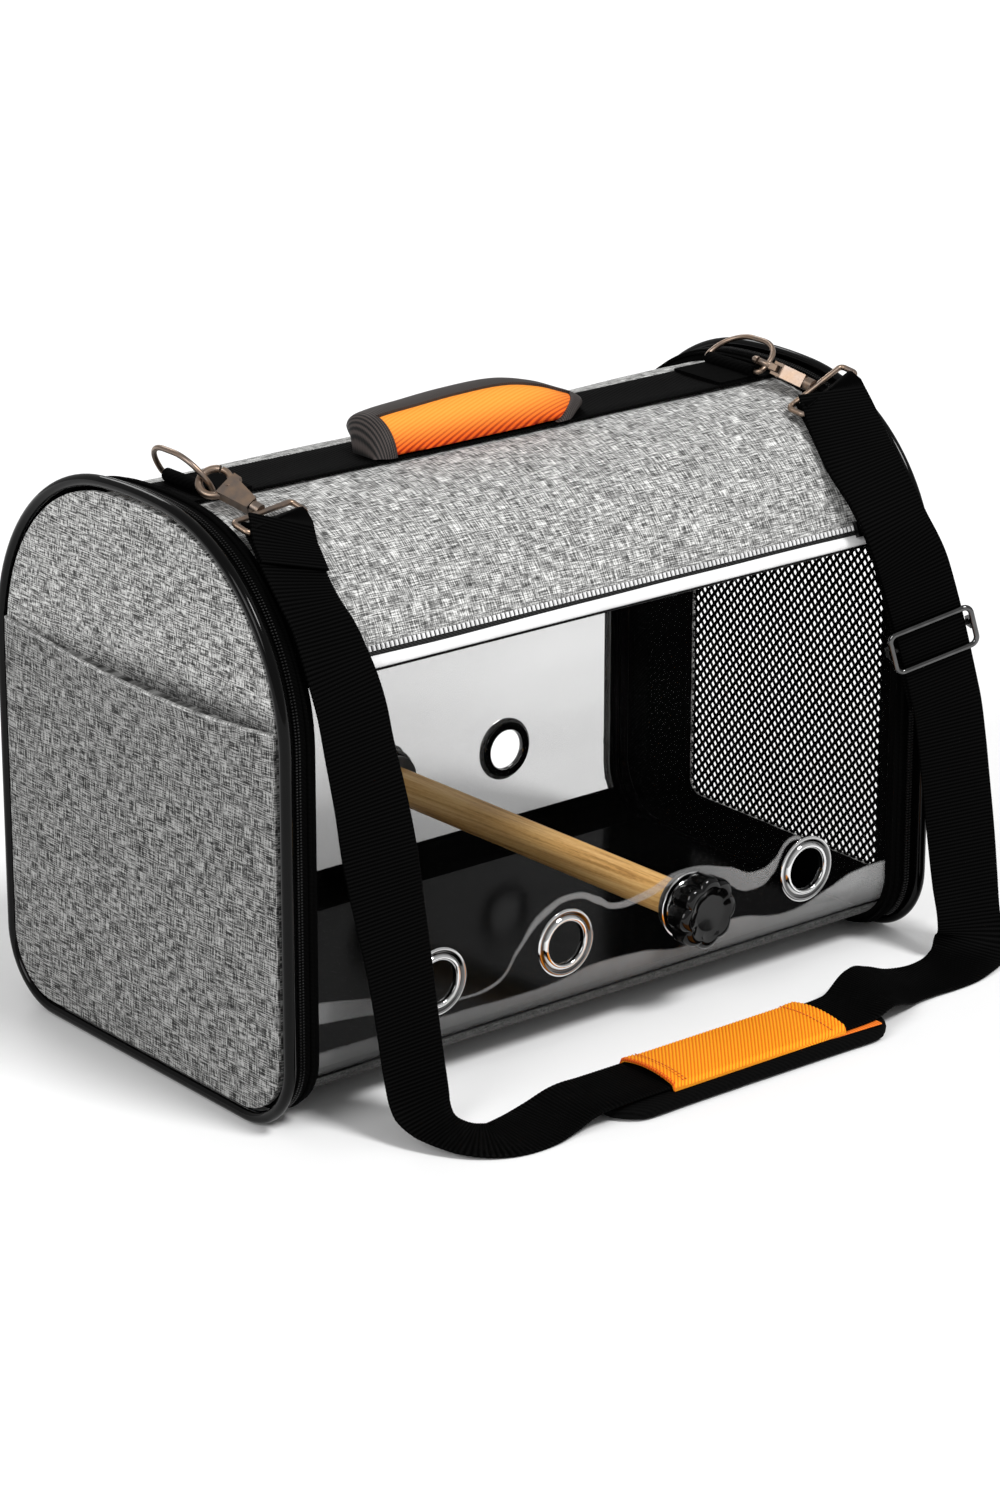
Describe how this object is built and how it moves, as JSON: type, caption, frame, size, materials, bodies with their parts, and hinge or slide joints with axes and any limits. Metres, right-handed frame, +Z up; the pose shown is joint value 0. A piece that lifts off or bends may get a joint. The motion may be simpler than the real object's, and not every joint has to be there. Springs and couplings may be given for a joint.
{
  "type": "bird travel carrier",
  "caption": "Soft-sided arched bird carrier with clear windows, zip-open ends, wooden perch, padded carrying handle and shoulder strap on snap hooks.",
  "frame": {"origin": "on the surface that the carrier stands on, under the middle of its body", "axes": "+X along the body towards the mesh end, -Y out of the front window, +Z up"},
  "size_m": [0.4383, 0.337, 0.3116],
  "materials": {
    "grey_cloth": "heathered linen-look polyester",
    "black_cloth": "woven",
    "black_vinyl": "glossy",
    "clear_film": "clear flexible vinyl",
    "white_vinyl": "glossy",
    "zip": "nylon coil",
    "zip_metal": "black",
    "eyelet_chrome": "polished",
    "spring_wire": "plain",
    "board": "glossy black",
    "mesh": "hexagonal mesh",
    "perch_wood": "turned, plain",
    "knob_plastic": "polished",
    "webbing": "ribbed nylon webbing",
    "dark_nickel": "dark nickel plate",
    "bright_steel": "polished",
    "dark_steel": "black",
    "pad_cloth": "knitted cover over foam",
    "orange_cloth": "ribbed",
    "charcoal_binding": "grosgrain"
  },
  "bodies": {
    "carrier": {"roof_panel": "grey_cloth", "bottom_panel": "grey_cloth", "floor_board": "board", "front_window": "clear_film", "back_window": "clear_film", "window_welts": "white_vinyl", "window_zips": "zip", "front_eyelets": "eyelet_chrome", "back_eyelets": "eyelet_chrome", "hoop_wires": "spring_wire", "hoop_sleeves": "black_cloth", "gussets": "black_cloth", "body_zip_coils": "zip", "perch_dowel": "perch_wood", "perch_studs": "spring_wire", "perch_washers": "spring_wire", "ridge_webbing": "webbing", "d_ring_tabs": "webbing", "left_d_ring": "dark_nickel", "right_d_ring": "dark_nickel", "left_hook_body": "dark_nickel", "left_hook_swivel": "dark_nickel", "right_hook_body": "dark_nickel", "right_hook_swivel": "dark_nickel", "hook_rivets": "dark_nickel", "shoulder_strap_left": "webbing", "shoulder_strap_right": "webbing", "strap_folds": "webbing", "strap_return": "webbing", "shoulder_pad": "pad_cloth", "shoulder_pad_base": "orange_cloth", "shoulder_pad_sleeve": "orange_cloth"},
    "left_door": {"left_door_panel": "grey_cloth", "left_door_pocket": "grey_cloth", "left_door_piping": "black_vinyl", "left_door_zip_tape": "black_cloth", "left_door_zip_coil": "zip"},
    "right_door": {"right_door_panel": "grey_cloth", "right_door_lining": "black_cloth", "right_door_mesh": "mesh", "right_door_mesh_binding": "black_cloth", "right_door_piping": "black_vinyl", "right_door_zip_tape": "black_cloth", "right_door_zip_coil": "zip"},
    "front_knob": {"front_perch_knob": "knob_plastic"},
    "back_knob": {"back_perch_knob": "knob_plastic"},
    "left_gate": {"left_hook_gate": "dark_nickel"},
    "right_gate": {"right_hook_gate": "dark_nickel"},
    "handle": {"handle_grip": "orange_cloth", "handle_bindings": "charcoal_binding"},
    "adjuster": {"adjuster_frame": "bright_steel", "adjuster_bar": "dark_steel"},
    "left_door_zip_slider": {"left_door_slider": "zip_metal"},
    "left_door_zip_pull": {"left_door_pull": "zip_metal"},
    "right_door_zip_slider": {"right_door_slider": "zip_metal"},
    "right_door_zip_pull": {"right_door_pull": "zip_metal"},
    "front_window_zip_slider": {"front_window_slider": "zip_metal"},
    "front_window_zip_pull": {"front_window_pull": "zip_metal"},
    "back_window_zip_slider": {"back_window_slider": "zip_metal"},
    "back_window_zip_pull": {"back_window_pull": "zip_metal"}
  },
  "joints": [
    {"name": "left_door_hinge", "type": "hinge", "parent": "carrier", "child": "left_door", "pos_m": [-0.204, 0, 0.003], "axis": [0, -1, 0], "range_deg": [0, 90]},
    {"name": "right_door_hinge", "type": "hinge", "parent": "carrier", "child": "right_door", "pos_m": [0.204, 0, 0.003], "axis": [0, 1, 0], "range_deg": [0, 90]},
    {"name": "front_knob_turn", "type": "hinge", "parent": "carrier", "child": "front_knob", "pos_m": [0.049, -0.1115, 0.0565], "axis": [0.0804, -0.9963, -0.029], "continuous": true},
    {"name": "back_knob_turn", "type": "hinge", "parent": "carrier", "child": "back_knob", "pos_m": [0.031, 0.1115, 0.063], "axis": [-0.0804, 0.9963, 0.029], "continuous": true},
    {"name": "left_gate_spring", "type": "hinge", "parent": "carrier", "child": "left_gate", "pos_m": [-0.17038, -0.02978, 0.29629], "axis": [-0.4902, -0.4139, 0.7671], "range_deg": [0, 25], "stiffness_Nm_per_rad": 0.02, "springref_deg": -11.46},
    {"name": "right_gate_spring", "type": "hinge", "parent": "carrier", "child": "right_gate", "pos_m": [0.17697, -0.03119, 0.29496], "axis": [-0.5005, 0.0819, -0.8619], "range_deg": [0, 25], "stiffness_Nm_per_rad": 0.02, "springref_deg": -11.46},
    {"name": "handle_lift", "type": "slide", "parent": "carrier", "child": "handle", "axis": [0, 0, 1], "range_m": [0, 0.012]},
    {"name": "adjuster_slide", "type": "slide", "parent": "carrier", "child": "adjuster", "axis": [-0.255, 0.085, 0.9632], "range_m": [-0.02, 0.02]},
    {"name": "left_door_zip", "type": "slide", "parent": "carrier", "child": "left_door_zip_slider", "axis": [0, 0, 1], "range_m": [0, 0.13]},
    {"name": "left_door_pull_flip", "type": "hinge", "parent": "left_door_zip_slider", "child": "left_door_zip_pull", "pos_m": [-0.196, 0.1227, 0.046], "axis": [1, 0, 0], "range_deg": [0, 150]},
    {"name": "right_door_zip", "type": "slide", "parent": "carrier", "child": "right_door_zip_slider", "axis": [0, 0, 1], "range_m": [0, 0.13]},
    {"name": "right_door_pull_flip", "type": "hinge", "parent": "right_door_zip_slider", "child": "right_door_zip_pull", "pos_m": [0.196, 0.1227, 0.046], "axis": [1, 0, 0], "range_deg": [0, 150]},
    {"name": "front_window_zip", "type": "slide", "parent": "carrier", "child": "front_window_zip_slider", "axis": [-1, 0, 0], "range_m": [0, 0.3]},
    {"name": "front_window_pull_flip", "type": "hinge", "parent": "front_window_zip_slider", "child": "front_window_zip_pull", "pos_m": [0.168, -0.11012, 0.23187], "axis": [0, -0.3915, -0.9202], "range_deg": [0, 6]},
    {"name": "back_window_zip", "type": "slide", "parent": "carrier", "child": "back_window_zip_slider", "axis": [1, 0, 0], "range_m": [0, 0.32]},
    {"name": "back_window_pull_flip", "type": "hinge", "parent": "back_window_zip_slider", "child": "back_window_zip_pull", "pos_m": [-0.16, 0.11012, 0.23187], "axis": [0, 0.3915, -0.9202], "range_deg": [0, 150]}
  ]
}
